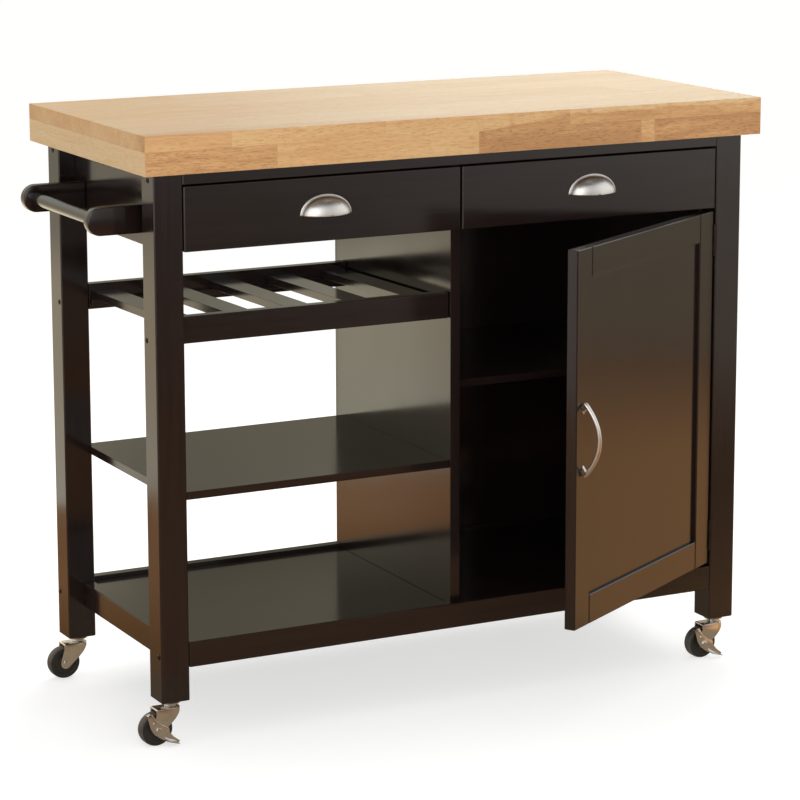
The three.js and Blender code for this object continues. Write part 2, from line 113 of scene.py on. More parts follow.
def noise(tree, vector, scale=1.0, detail=3.0, rough=0.5, distort=0.0):
    made = node(tree, "ShaderNodeTexNoise")
    link(tree, vector, made.inputs["Vector"])
    made.inputs["Scale"].default_value = scale
    made.inputs["Detail"].default_value = detail
    made.inputs["Roughness"].default_value = rough
    made.inputs["Distortion"].default_value = distort
    return made.outputs["Fac"]


def ramp(tree, value, stops):
    """A colour ramp through (position, colour) stops."""
    made = node(tree, "ShaderNodeValToRGB")
    link(tree, value, made.inputs[0])
    band = made.color_ramp
    while len(band.elements) > 2:
        band.elements.remove(band.elements[-1])
    for i, (at, colour) in enumerate(stops):
        element = band.elements[i] if i < 2 else band.elements.new(at)
        element.position = at
        element.color = (*colour, 1.0) if len(colour) == 3 else colour
    return made.outputs[0]


def grey(tree, value, low_at, high_at, low=0.0, high=1.0):
    """Maps low_at..high_at to low..high, clamped."""
    made = node(tree, "ShaderNodeMapRange")
    link(tree, value, made.inputs["Value"])
    for key, number in zip(("From Min", "From Max", "To Min", "To Max"), (low_at, high_at, low, high)):
        made.inputs[key].default_value = number
    return made.outputs[0]


def blend_colour(tree, factor, a, b):
    made = node(tree, "ShaderNodeMix", data_type="RGBA")
    for socket, value in ((made.inputs[0], factor), (made.inputs[6], a), (made.inputs[7], b)):
        if hasattr(value, "is_linked"):
            link(tree, value, socket)
        else:
            socket.default_value = value if isinstance(value, float) else (*value, 1.0)
    return made.outputs[2]


def bump(tree, shader, height, strength, distance, after=None):
    made = node(tree, "ShaderNodeBump")
    made.inputs["Strength"].default_value = strength
    made.inputs["Distance"].default_value = distance
    link(tree, height, made.inputs["Height"])
    if after is not None:
        link(tree, after, made.inputs["Normal"])
    link(tree, made.outputs[0], shader.inputs["Normal"])
    return made.outputs[0]


# ---------------------------------------------------------------- materials
def edge_mask(tree, radius, low=0.004, high=0.10):
    """Rounded shading normal and a mask that is 1 along outside and inside corners."""
    rounded = node(tree, "ShaderNodeBevel", samples=4)
    rounded.inputs["Radius"].default_value = radius
    flat = node(tree, "ShaderNodeNewGeometry").outputs["Normal"]
    dot = node(tree, "ShaderNodeVectorMath", operation="DOT_PRODUCT")
    link(tree, rounded.outputs[0], dot.inputs[0])
    link(tree, flat, dot.inputs[1])
    return rounded.outputs[0], grey(tree, maths(tree, "SUBTRACT", 1.0, dot.outputs["Value"]), low, high)


def lacquer(name, scale, turn=0.0):
    """Dark espresso lacquer over wood: grain stretched along one axis, rubbed brown on the edges."""
    mat, tree, shader = new_material(name)
    place = node(tree, "ShaderNodeTexCoord").outputs["Object"]
    along = scaled(tree, place, scale, rotation=(0, 0, turn))
    fibre = noise(tree, along, 1.0, 4.0, 0.6, 0.4)
    broad = noise(tree, along, 0.13, 2.0, 0.5)
    cloud = noise(tree, place, 9.0, 3.0, 0.55)
    peel = noise(tree, place, 700.0, 1.0, 0.4)
    rounded, edge = edge_mask(tree, 0.0009)
    tone = ramp(tree, fibre, [(0.3, (0.0085, 0.0051, 0.0044)), (0.62, (0.0130, 0.0080, 0.0068))])
    colour = blend_colour(tree, grey(tree, broad, 0.35, 0.7, 0.0, 0.4), tone, (0.0160, 0.0096, 0.0076))
    rubbed = grey(tree, noise(tree, place, 55.0, 3.0, 0.6), 0.42, 0.66, 0.15, 0.75)
    worn = maths(tree, "MULTIPLY", edge, rubbed)
    colour = blend_colour(tree, worn, colour, (0.055, 0.032, 0.021))
    link(tree, colour, shader.inputs["Base Color"])
    gloss = maths(tree, "ADD", grey(tree, cloud, 0.3, 0.7, 0.10, 0.15),
                  grey(tree, fibre, 0.3, 0.7, 0.0, 0.03))
    link(tree, maths(tree, "MULTIPLY_ADD", worn, 0.15, gloss), shader.inputs["Roughness"])
    shader.inputs["IOR"].default_value = 1.55
    first = bump(tree, shader, fibre, 0.06, 0.0004, rounded)
    bump(tree, shader, peel, 0.02, 0.0002, first)
    return mat


def block_wood(name):
    """Pale hardwood: each stave carries its own grain coordinates, tone, coarseness and heart line."""
    mat, tree, shader = new_material(name)
    grain = node(tree, "ShaderNodeAttribute", attribute_name="grain").outputs["Vector"]
    stave = node(tree, "ShaderNodeAttribute", attribute_name="stave")
    parts = node(tree, "ShaderNodeSeparateColor")
    link(tree, stave.outputs["Color"], parts.inputs[0])
    tone, coarse, heart = parts.outputs
    facing = node(tree, "ShaderNodeSeparateXYZ")
    link(tree, node(tree, "ShaderNodeNewGeometry").outputs["Normal"], facing.inputs[0])
    end_grain = maths(tree, "MULTIPLY", maths(tree, "ABSOLUTE", facing.outputs[0]), stave.outputs["Alpha"])
    bend = node(tree, "ShaderNodeTexNoise")
    link(tree, scaled(tree, grain, (9, 30, 30)), bend.inputs["Vector"])
    bend.inputs["Scale"].default_value = 1.0
    bend.inputs["Detail"].default_value = 2.0
    push = node(tree, "ShaderNodeVectorMath", operation="MULTIPLY_ADD")
    link(tree, bend.outputs["Color"], push.inputs[0])
    push.inputs[1].default_value = (0.0, 0.016, 0.016)
    link(tree, grain, push.inputs[2])
    wavy = push.outputs[0]
    split = node(tree, "ShaderNodeSeparateXYZ")
    link(tree, wavy, split.inputs[0])
    across = maths(tree, "SQRT", maths(tree, "ADD", maths(tree, "POWER", split.outputs[1], 2.0),
                                       maths(tree, "POWER", split.outputs[2], 2.0)))
    sway = noise(tree, scaled(tree, grain, (6, 20, 20)), 1.0, 3.0, 0.55)
    ring_at = maths(tree, "MULTIPLY_ADD", across, 620.0, maths(tree, "MULTIPLY", sway, 16.0))
    ring = maths(tree, "MULTIPLY_ADD", maths(tree, "SINE", ring_at), 0.5, 0.5)
    streak = noise(tree, scaled(tree, wavy, (7, 330, 330)), 1.0, 5.0, 0.65, 0.2)
    broad = noise(tree, scaled(tree, wavy, (3.5, 42, 42)), 1.0, 3.0, 0.55)
    pore = noise(tree, scaled(tree, wavy, (75, 620, 620)), 1.0, 3.0, 0.65)
    fine = noise(tree, scaled(tree, wavy, (60, 2300, 2300)), 1.0, 2.0, 0.6)
    pores = maths(tree, "MULTIPLY", grey(tree, pore, 0.50, 0.64),
                  maths(tree, "MULTIPLY_ADD", coarse, 0.78, 0.10))
    value = maths(tree, "ADD", tone, grey(tree, broad, 0.3, 0.7, -0.13, 0.13))
    value = maths(tree, "ADD", value, grey(tree, streak, 0.3, 0.7, -0.15, 0.15))
    value = maths(tree, "ADD", value, grey(tree, fine, 0.3, 0.7, -0.10, 0.10))
    value = maths(tree, "ADD", value, maths(tree, "MULTIPLY", maths(tree, "SUBTRACT", ring, 0.5),
                                            maths(tree, "MULTIPLY_ADD", coarse, 0.10, 0.06)))
    value = maths(tree, "ADD", value, maths(tree, "MULTIPLY", end_grain, 0.34))
    wander = noise(tree, scaled(tree, grain, (14, 3, 3)), 1.0, 2.0)
    line = maths(tree, "ADD", heart, grey(tree, wander, 0.3, 0.7, -0.06, 0.06))
    value = maths(tree, "ADD", value, grey(tree, line, 0.49, 0.54, 0.0, 0.42))
    colour = ramp(tree, value, [
        (0.0, (0.68, 0.480, 0.262)),
        (0.35, (0.645, 0.405, 0.185)),
        (0.65, (0.590, 0.325, 0.132)),
        (1.0, (0.450, 0.222, 0.084)),
    ])
    rounded, edge = edge_mask(tree, 0.0008, 0.01, 0.15)
    colour = blend_colour(tree, maths(tree, "MULTIPLY", pores, 0.66), colour, (0.235, 0.095, 0.032))
    colour = blend_colour(tree, maths(tree, "MULTIPLY", edge, 0.25), colour, (0.72, 0.52, 0.30))
    link(tree, colour, shader.inputs["Base Color"])
    link(tree, grey(tree, streak, 0.3, 0.7, 0.36, 0.46), shader.inputs["Roughness"])
    height = maths(tree, "SUBTRACT", maths(tree, "MULTIPLY", streak, 0.3), pores)
    bump(tree, shader, height, 0.22, 0.0003, rounded)
    return mat


def metal(name, colour, rough, brush=(60, 60, 900), dark=0.75):
    """Brushed metal: brush scales the streaks on each axis, dark shades its cloudy patches."""
    mat, tree, shader = new_material(name)
    place = node(tree, "ShaderNodeTexCoord").outputs["Object"]
    brushed = noise(tree, scaled(tree, place, brush), 1.0, 3.0, 0.6)
    cloud = noise(tree, place, 60.0, 3.0, 0.6)
    shade = tuple(v * dark for v in colour)
    link(tree, blend_colour(tree, grey(tree, cloud, 0.3, 0.75), colour, shade), shader.inputs["Base Color"])
    shader.inputs["Metallic"].default_value = 1.0
    link(tree, grey(tree, brushed, 0.3, 0.7, rough * 0.8, rough * 1.25), shader.inputs["Roughness"])
    bump(tree, shader, brushed, 0.05, 0.0001)
    return mat


def moulded(name, light, dark, rough):
    """Hard rubber or plastic with a fine cast texture and scuffs."""
    mat, tree, shader = new_material(name)
    place = node(tree, "ShaderNodeTexCoord").outputs["Object"]
    scuff = noise(tree, place, 130.0, 4.0, 0.65)
    fine = noise(tree, place, 1800.0, 2.0, 0.5)
    link(tree, ramp(tree, scuff, [(0.35, dark), (0.7, light)]), shader.inputs["Base Color"])
    link(tree, grey(tree, scuff, 0.3, 0.7, rough, rough + 0.15), shader.inputs["Roughness"])
    bump(tree, shader, fine, 0.12, 0.0002)
    return mat


LACQUER_X = lacquer("espresso_lacquer_x", (7, 150, 150))
LACQUER_Y = lacquer("espresso_lacquer_y", (150, 7, 150))
LACQUER_Z = lacquer("espresso_lacquer_z", (150, 150, 7))
DOOR_TURN = math.radians(joints["door_swing"]["range_deg"][0])
LACQUER_DOOR = lacquer("espresso_lacquer_door_rail", (7, 150, 150), DOOR_TURN)
WOOD = block_wood("butcher_block")
NICKEL = metal("satin_nickel", (0.74, 0.72, 0.69), 0.36, dark=0.9)
ZINC = metal("bright_zinc", (0.80, 0.80, 0.80), 0.15, (300, 300, 300), 0.85)
BRONZE = metal("dark_bronze", (0.050, 0.042, 0.038), 0.34, (300, 300, 300))
BOLT = metal("black_steel", (0.045, 0.042, 0.040), 0.35, (400, 400, 400))
TREAD = moulded("wheel_tread", (0.075, 0.066, 0.058), (0.045, 0.040, 0.036), 0.42)
HUB = moulded("wheel_hub", (0.022, 0.020, 0.018), (0.010, 0.009, 0.008), 0.38)
DRAWER_BOARD = lacquer("drawer_board", (7, 150, 150))


# ---------------------------------------------------------------- mesh helpers
def make_object(name, bm, mats, sharp=35.0):
    mesh = bpy.data.meshes.new(name)
    bm.normal_update()
    bm.to_mesh(mesh)
    bm.free()
    mesh.polygons.foreach_set("use_smooth", [True] * len(mesh.polygons))
    mesh.set_sharp_from_angle(angle=math.radians(sharp))
    obj = bpy.data.objects.new(name, mesh)
    bpy.context.scene.collection.objects.link(obj)
    for mat in mats if isinstance(mats, (list, tuple)) else [mats]:
        mesh.materials.append(mat)
    return obj


def soften(bm, verts, width, segments):
    """Bevels the edges that turn by more than 28 degrees."""
    edges = {e for v in verts for e in v.link_edges if e.calc_face_angle(0.0) > math.radians(28)}
    if width > 0:
        bmesh.ops.bevel(bm, geom=list(edges), offset=width, segments=segments, profile=0.5,
                        affect="EDGES", clamp_overlap=True)


def prism(bm, outline, basis, depth, bevel=0.0, segments=2):
    """Extrudes outline points (u, v) over depth (w0, w1); basis maps u, v, w to the scene."""
    part = bmesh.new()
    low = [part.verts.new(basis @ Vector((u, v, depth[0]))) for u, v in outline]
    high = [part.verts.new(basis @ Vector((u, v, depth[1]))) for u, v in outline]
    n = len(outline)
    part.faces.new(low[::-1])
    part.faces.new(high)
    for i in range(n):
        part.faces.new((low[i], low[(i + 1) % n], high[(i + 1) % n], high[i]))
    bmesh.ops.recalc_face_normals(part, faces=part.faces)
    soften(part, part.verts, bevel, segments)
    add_into(bm, part)


def add_into(bm, part, index=0):
    """Copies a part into bm with a material index, frees it and returns the new vertices."""
    part.verts.index_update()
    made = [bm.verts.new(v.co) for v in part.verts]
    for face in part.faces:
        new = bm.faces.new([made[v.index] for v in face.verts])
        new.material_index = index
    part.free()
    return made


def box_part(low, high, bevel):
    part = bmesh.new()
    bmesh.ops.create_cube(part, size=1.0)
    low, high = Vector(low), Vector(high)
    for v in part.verts:
        v.co = Vector(low[i] + (v.co[i] + 0.5) * (high[i] - low[i]) for i in range(3))
    soften(part, part.verts, bevel, 1)
    return part


def turned(bm, profile, axis_at, axis="Z", steps=48, index=0):
    """Revolves (radius, height) points about an axis through axis_at."""
    part = bmesh.new()
    rings = []
    for r, h in profile:
        ring = []
        for i in range(steps if r > 1e-9 else 1):
            a = 2 * math.pi * i / steps
            c, s = r * math.cos(a), r * math.sin(a)
            at = {"Z": (c, s, h), "Y": (s, h, c), "X": (h, c, s)}[axis]
            ring.append(part.verts.new(Vector(axis_at) + Vector(at)))
        rings.append(ring)
    for a, b in zip(rings, rings[1:]):
        for i in range(steps):
            j = (i + 1) % steps
            if len(a) == 1:
                part.faces.new((a[0], b[i], b[j]))
            elif len(b) == 1:
                part.faces.new((a[i], a[j], b[0]))
            else:
                part.faces.new((a[i], a[j], b[j], b[i]))
    bmesh.ops.recalc_face_normals(part, faces=part.faces)
    add_into(bm, part, index)


def arc(cx, cy, r, start, end, steps):
    spread = [math.radians(start + (end - start) * i / steps) for i in range(steps + 1)]
    return [(cx + r * math.cos(a), cy + r * math.sin(a)) for a in spread]


XY = Matrix.Identity(4)
XZ = Matrix(((1, 0, 0, 0), (0, 0, 1, 0), (0, 1, 0, 0), (0, 0, 0, 1)))


def at(x=0.0, y=0.0, z=0.0):
    return Matrix.Translation((x, y, z))


def in_mm(points):
    return [(x * MM, y * MM) for x, y in points]


# ---------------------------------------------------------------- finishes of the CAD pieces that stay
def paint(names, mat):
    for name in names:
        obj = frame["nodes"][name]
        obj.data.materials.clear()
        obj.data.materials.append(mat)


paint(["leg_" + c for c in CORNERS], LACQUER_Z)
paint(["top_rail_front", "top_rail_rear", "apron_rear", "bottom_rail_front", "bottom_rail_rear",
       "bottom_panel", "middle_shelf", "cabinet_shelf", "rack_rail_front", "rack_rail_rear",
       "drawer_left_front", "drawer_right_front"], LACQUER_X)
paint(["apron_left", "bottom_rail_left"] + ["rack_slat_%d" % i for i in range(1, 6)], LACQUER_Y)
paint(["side_panel_right", "centre_partition", "cabinet_back", "door_stile_hinge", "door_stile_free",
       "door_panel"], LACQUER_Z)
paint(["door_rail_top", "door_rail_bottom"], LACQUER_DOOR)
paint(["drawer_%s_%s" % (s, k) for s in ("left", "right") for k in ("sides", "floor")], DRAWER_BOARD)
paint(["hinge_%d_%s_leaf" % (i, k) for i in (1, 2) for k in ("door", "frame")], BRONZE)


# ---------------------------------------------------------------- worktop
STAVE_EASE = 0.00028


def worktop():
    """A staved top panel on a mitred build-up strip, every stave a separate board."""
    low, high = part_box("worktop")
    rng = random.Random(7)
    bm = bmesh.new()
    grain = bm.verts.layers.float_vector.new("grain")
    stave = bm.verts.layers.float_color.new("stave")
    split = high.z - 23.5 * MM
    rows = 9
    pitch = (high.y - low.y) / rows

    def lay(part, tone, coarse, along="x", heart=None, fade=0.0):
        """Adds a board; fade is how much paler it gets from the front edge to the back of its row."""
        shift = Vector((rng.uniform(0, 9), rng.uniform(0.05, 0.22), rng.uniform(0.02, 0.12)))
        for v in add_into(bm, part):
            p = v.co - Vector((low.x, low.y, split))
            v[grain] = Vector((p.x, p.y, p.z) if along == "x" else (p.y, p.x, p.z)) + shift
            v[stave] = (tone - fade * p.y / pitch, coarse, 0.5 + (heart(p) if heart else -0.4),
                        1.0 if along == "x" else 0.0)

    def cuts_at(distances):
        return [low.x] + [low.x + d * MM for d in distances] + [high.x]

    def heartwood(p):
        """Distance below the line where the darker heartwood starts; it climbs to the right."""
        climb = min(max((p.x - 546.6 * MM) / (151.2 * MM), 0.0), 1.0)
        return 20.0 * (climb * 18.5 * MM - p.z)

    for row in range(rows):
        if row == 0:
            cuts = cuts_at([135.4, 382.9, 546.6, 697.8])
            tones = [0.66, 0.44, 0.48, 0.42, 0.30]
            rough = [0.35, 0.60, 0.55, 0.60, 0.65]
        else:
            cuts, x = [low.x], low.x + rng.uniform(0.12, 0.36)
            while x < high.x - 0.12:
                cuts.append(x)
                x += rng.uniform(0.24, 0.42)
            cuts.append(high.x)
            tones = [rng.uniform(0.06, 0.30) for _ in cuts]
            rough = [rng.uniform(0.1, 0.5) for _ in cuts]
        for i in range(len(cuts) - 1):
            y = low.y + row * pitch
            part = box_part((cuts[i], y, split), (cuts[i + 1], y + pitch, high.z), STAVE_EASE)
            lay(part, tones[i], rough[i], "x", heartwood if row == 0 and i > 2 else None,
                max(tones[i] - 0.15, 0) if row == 0 else 0)

    strip = 44 * MM
    lay(box_part((low.x + strip, low.y + strip, low.z + 0.3 * MM),
                 (high.x - strip, high.y - strip, split), 0.0003), 0.5, 0.4)

    def mitred(side, cuts, tones, rough):
        """One long side of the build-up strip, front (-1) or rear (1), with mitred ends."""
        y_out, y_in = (low.y, low.y + strip) if side < 0 else (high.y, high.y - strip)
        for i in range(len(cuts) - 1):
            a, b = cuts[i], cuts[i + 1]
            a_in = a + strip if i == 0 else a
            b_in = b - strip if i == len(cuts) - 2 else b
            part = bmesh.new()
            prism(part, [(a, y_out), (b, y_out), (b_in, y_in), (a_in, y_in)], XY, (low.z, split),
                  STAVE_EASE, 1)
            lay(part, tones[i], rough[i])

    mitred(-1, cuts_at([207.0, 540.5, 825.2, 849.4]), [0.80, 0.50, 0.98, 0.66, 0.96],
           [1.0, 0.45, 1.0, 0.6, 1.0])
    mitred(1, cuts_at([260, 610, 880]), [0.5, 0.7, 0.4, 0.6], [0.5, 0.8, 0.4, 0.6])
    for out, side in ((low.x, 1), (high.x, -1)):
        inner = out + side * strip
        part = bmesh.new()
        prism(part, [(out, low.y), (out, high.y), (inner, high.y - strip), (inner, low.y + strip)],
              XY, (low.z, split), STAVE_EASE, 1)
        lay(part, 0.14, 0.25, "y")
    obj = make_object("butcher_block_top", bm, WOOD, 30)
    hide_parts("worktop")
    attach(obj, "frame")


worktop()


# ---------------------------------------------------------------- towel rail
def towel_rail():
    for where in ("front", "rear"):
        low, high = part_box("towel_arm_" + where)
        r = (high.z - low.z) / 2
        z = (high.z + low.z) / 2
        bm = bmesh.new()
        outline = [(high.x, low.z), (high.x, high.z)] + arc(low.x + r, z, r, 90, 270, 28)
        prism(bm, outline, XZ, (low.y, high.y), 0.0024, 3)
        arm = make_object("towel_arm_%s_shaped" % where, bm, LACQUER_X, 40)
        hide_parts("towel_arm_" + where)
        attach(arm, "frame")
    low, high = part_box("towel_rod")
    r = (high.z - low.z) / 2
    bm = bmesh.new()
    turned(bm, [(0, low.y), (r, low.y), (r, high.y), (0, high.y)],
           ((low.x + high.x) / 2, 0, (low.z + high.z) / 2), "Y", 56)
    rod = make_object("towel_rod_turned", bm, LACQUER_Y, 40)
    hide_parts("towel_rod")
    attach(rod, "frame")


towel_rail()


# ---------------------------------------------------------------- drawer pulls
PULL_WIDE, PULL_TALL = 0.96, 0.88     # the photo's pulls are a little smaller than their solids


def cup_pull(side):
    """A hollow pressed cup: a rolled bead on the drawer front, then a dome open at the bottom."""
    low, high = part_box("drawer_%s_pull" % side)
    cx, face, reach = (low.x + high.x) / 2, high.y, high.y - low.y
    half = (high.x - low.x) / 2 * PULL_WIDE
    base = low.z + (high.z - low.z) * (1 - PULL_TALL)
    tall = (high.z - low.z) * PULL_TALL
    # the bead, as distances inward from the rim and out from the drawer front
    profile = [(0.0, 0.0), (0.0, 0.0009), (0.0005, 0.0016), (0.0014, 0.0019), (0.0022, 0.0017),
               (0.0028, 0.0015)]
    bead_in, bead_out = profile[-1]
    skirt = len(profile)
    dome_steps = 22
    bm = bmesh.new()
    grid = []
    turns = 56
    for t in range(turns + 1):
        a = math.pi * t / turns
        out_x, out_z = half * math.cos(a), tall * math.sin(a)
        reach_out = math.hypot(out_x, out_z)
        line = []
        for i in range(skirt + dome_steps):
            if i < skirt:
                inward, d = profile[i]
                k = (reach_out - inward) / reach_out
            else:
                psi = math.pi / 2 * (i - skirt + 1) / dome_steps
                inner = (reach_out - bead_in) / reach_out
                k = inner * math.cos(psi)
                d = bead_out + (reach - 0.0016) * math.sin(psi)
            line.append(bm.verts.new((cx + out_x * k, face - d, base + out_z * k)))
        grid.append(line)
    for a, b in zip(grid, grid[1:]):
        for i in range(len(a) - 1):
            bm.faces.new((a[i], a[i + 1], b[i + 1], b[i]))
    bmesh.ops.remove_doubles(bm, verts=bm.verts, dist=1e-6)
    bmesh.ops.recalc_face_normals(bm, faces=bm.faces)
    pull = make_object("cup_pull_%s" % side, bm, NICKEL, 50)
    if sum((p.normal.y for p in pull.data.polygons)) > 0:
        pull.data.flip_normals()
    thick = pull.modifiers.new("wall", "SOLIDIFY")
    thick.thickness = 0.0015
    thick.offset = -1
    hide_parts("drawer_%s_pull" % side)
    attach(pull, "drawer_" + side)


for side in ("left", "right"):
    cup_pull(side)


# ---------------------------------------------------------------- door handle, in the closed door's own axes
hinge_at = Vector(joints["door_swing"]["pos_m"])
DOOR = at(hinge_at.x, hinge_at.y, 0) @ Matrix.Rotation(-DOOR_TURN, 4, "Z")


def bow_handle():
    """A bowed bar, thickest at its ends, on two flared feet."""
    low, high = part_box("door_handle")
    middle = (low.z + high.z) / 2
    half = (high.z - low.z) / 2 - 1.2 * MM
    x, face = -431 * MM, 0.5 * MM
    rise = 24.4 * MM
    bm = bmesh.new()
    steps, sides = 44, 20
    rings = []
    for s in range(steps + 1):
        t = s / steps
        k = 2 * t - 1
        z = middle + half * k
        y = face - 3.1 * MM - rise * (1 - k * k)
        slope = Vector((0, 2 * rise * k, half)).normalized()
        out = Vector((1, 0, 0)).cross(slope).normalized()
        wide = (3.3 + 1.2 * k * k) * MM
        deep = (3.4 - 0.5 * k * k) * MM
        if s in (0, steps):
            wide, deep = wide * 0.85, deep * 0.75
        ring = []
        for i in range(sides):
            a = 2 * math.pi * i / sides
            c, q = math.cos(a), math.sin(a)
            p = Vector((x, y, z)) + Vector((1, 0, 0)) * wide * c + out * deep * q
            ring.append(bm.verts.new(DOOR @ p))
        rings.append(ring)
    for a, b in zip(rings, rings[1:]):
        for i in range(sides):
            j = (i + 1) % sides
            bm.faces.new((a[i], a[j], b[j], b[i]))
    bm.faces.new(rings[0])
    bm.faces.new(rings[-1])
    bmesh.ops.recalc_face_normals(bm, faces=bm.faces)
    for end in (-1, 1):
        part = bmesh.new()
        turned(part, in_mm([(0, 0), (3, 0), (3, 0.4), (2.5, 1), (2.4, 4), (2.3, 7.2), (0, 7.2)]),
               (0, 0, 0), "Y", 24)
        foot = middle + end * (half - 13.5 * MM)
        for v in part.verts:
            lean = end * 1.3 * max(v.co.y - 0.4 * MM, 0)
            v.co = DOOR @ Vector((x + v.co.x, face - 0.3 * MM - v.co.y, foot + v.co.z + lean))
        bmesh.ops.recalc_face_normals(part, faces=part.faces)
        add_into(bm, part)
    handle = make_object("door_bow_handle", bm, NICKEL, 40)
    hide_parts("door_handle")
    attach(handle, "door")


bow_handle()


# ---------------------------------------------------------------- casters
def caster(where):
    """Race, folded yoke, wheel and, on the front ones, the brake lever of one caster."""
    seat_low, seat_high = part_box("caster_%s_seat" % where)
    ox, oy = (seat_low.x + seat_high.x) / 2, (seat_low.y + seat_high.y) / 2
    wheel_low, wheel_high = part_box("caster_%s_wheel" % where)
    axle = (wheel_low.x + wheel_high.x) / 2 - ox
    rim = (wheel_high.z - wheel_low.z) / 2
    half = (wheel_high.y - wheel_low.y) / 2
    home = at(ox, oy, 0)
    braked = where.startswith("front")

    bm = bmesh.new()
    turned(bm, in_mm([
        (0, 51.8), (4.4, 51.8), (5.4, 52.4), (5.4, 53.5), (3.2, 53.6), (3.2, 57.5), (8.6, 57.5),
        (9.2, 58.2), (9.2, 60.6), (10.2, 61.6), (14.2, 62.4), (15, 63.2), (15, 64.4), (14.2, 65.2),
        (11.5, 65.4), (11.5, 67.7), (4, 67.7), (4, 103), (3.2, 104), (0, 104)]), (ox, oy, 0), "Z", 48)
    seat = make_object("caster_%s_race" % where, bm, ZINC, 35)
    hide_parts("caster_%s_seat" % where)
    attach(seat, "frame")

    # folded yoke: cap plate with rolled edge, two cheeks and a short nose skirt
    bm = bmesh.new()
    nose_x, outer, inner = 1.5, 12.5, 10.5
    cap = [(-27, -outer)] + arc(nose_x, 0, outer, -90, 90, 24) + [(-27, outer)]
    prism(bm, in_mm(cap), home, (52.8 * MM, 57 * MM), 2.0 * MM, 5)
    a_x, a_z = axle / MM, rim / MM
    cheek = [(a_x - 2, 56), (a_x - 2, 50), (a_x - 7.5, 31)] + arc(a_x, a_z, 8.5, 180, 320, 18) + [
        (-1, 35.6), (2.5, 39.4), (2.5, 56)]
    for y in (-outer, inner):
        prism(bm, in_mm(cheek), home @ XZ, (y * MM, (y + outer - inner) * MM), 0.35 * MM, 2)
    skirt = arc(nose_x, 0, outer, -90, 90, 24) + arc(nose_x, 0, inner, 90, -90, 24)
    part = bmesh.new()
    prism(part, in_mm(skirt), home, (50 * MM, 56 * MM))
    for v in part.verts:
        if v.co.z < 53 * MM:    # the skirt's lower edge climbs towards the nose
            v.co.z = (39.4 + (v.co.x - ox - 2.5 * MM) / MM * 1.09) * MM
    add_into(bm, part)
    front = 15.1 if braked else outer
    turned(bm, in_mm([(0, -front - 1), (2.6, -front - 1), (3, -front - 0.6), (3, 12.6), (4.6, 12.6),
                      (4.6, 13.6), (3.6, 14.3), (0, 14.3)]), (ox + axle, oy, rim), "Y", 24)
    hexagon = arc(a_x, a_z, 5, 0, 300, 5)
    prism(bm, in_mm(hexagon), home @ XZ, ((-front - 2.4) * MM, (-front + 0.1) * MM), 0.5 * MM, 2)
    yoke = make_object("caster_%s_folded_yoke" % where, bm, ZINC, 35)
    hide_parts("caster_%s_fork" % where)
    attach(yoke, "caster_%s_yoke" % where)

    # wheel: crowned tread on a dished hub with a lightening groove
    bm = bmesh.new()
    w = half
    tread = [(rim - 2.0 * MM, -w + 0.8 * MM), (rim - 1.3 * MM, -w + 0.9 * MM),
             (rim - 0.5 * MM, -w + 2.2 * MM), (rim - 0.1 * MM, -w + 5 * MM), (rim, 0)]
    tread = tread + [(r, -y) for r, y in tread[:-1]][::-1]
    turned(bm, tread, (ox + axle, oy, rim), "Y", 64, 0)
    for sign in (-1, 1):
        side_face = [(rim - 2.0 * MM, sign * (w - 0.8 * MM)), (rim - 2.6 * MM, sign * (w - 1.4 * MM)),
                     (rim - 3.2 * MM, sign * (w - 0.7 * MM)), (18.5 * MM, sign * (w - 0.6 * MM)),
                     (17.8 * MM, sign * (w - 1.0 * MM)), (17.2 * MM, sign * (w - 2.2 * MM)),
                     (9.6 * MM, sign * (w - 2.4 * MM)), (8.6 * MM, sign * (w - 1.6 * MM)),
                     (8.0 * MM, sign * w), (3.4 * MM, sign * w), (3.3 * MM, 0)]
        turned(bm, side_face, (ox + axle, oy, rim), "Y", 64, 1)
    bmesh.ops.remove_doubles(bm, verts=bm.verts, dist=1e-6)
    bmesh.ops.recalc_face_normals(bm, faces=bm.faces)
    wheel = make_object("caster_%s_moulded_wheel" % where, bm, [TREAD, HUB], 30)
    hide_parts("caster_%s_wheel" % where)
    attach(wheel, "caster_%s_roller" % where)

    if not braked:
        return
    # brake lever: a plate beside the wheel, a pedal across its foot and a shoe on the tread
    bm = bmesh.new()
    y1 = -12.9
    y0 = y1 - 1.8
    home_axle = home @ at(axle, 0, rim)
    plate = [(-10.5, 27), (-14.2, 26.4), (-17, 24.5), (-16.6, 19), (-15.5, 14), (-13.5, 6), (-10, -1),
             (-5, -6.5), (0, -10.5), (4, -13.2), (7.5, -15.6), (12, -15), (19, -18), (31, -22),
             (33, -21.2), (33.5, -19.5), (24, -12), (18, -5), (17.2, -1), (16.5, 2.5), (11, 5.2),
             (5.6, 8), (-3, 15.5), (-6.6, 21.5)]
    prism(bm, in_mm(plate), home_axle @ XZ, (y0 * MM, y1 * MM), 0.45 * MM, 2)
    pedal = [(10, -16), (19, -18.8), (30, -22), (29.6, -20.4), (19, -17), (10.5, -14.4)]
    prism(bm, in_mm(pedal), home_axle @ XZ, ((y0 - 9) * MM, (y0 + 0.4) * MM), 0.4 * MM, 2)
    shoe = arc(0, 0, 26.9, 114, 126, 6) + arc(0, 0, 28.7, 126, 114, 6)
    prism(bm, in_mm(shoe), home_axle @ XZ, (y0 * MM, -4.5 * MM), 0.3 * MM, 1)
    rivet = [(0, y0 - 1.1), (1.6, y0 - 0.9), (2.3, y0 - 0.2), (2.3, y0 + 0.3)]
    turned(bm, in_mm(rivet), home_axle @ Vector((-6.7 * MM, 0, 11.6 * MM)), "Y", 20)
    washer = [(6.3, y0 + 0.2), (6.3, y0 - 0.25), (5.7, y0 - 0.4), (3.5, y0 - 0.4), (3.4, y0 + 0.2)]
    turned(bm, in_mm(washer), home_axle @ Vector((0, 0, 0)), "Y", 28)
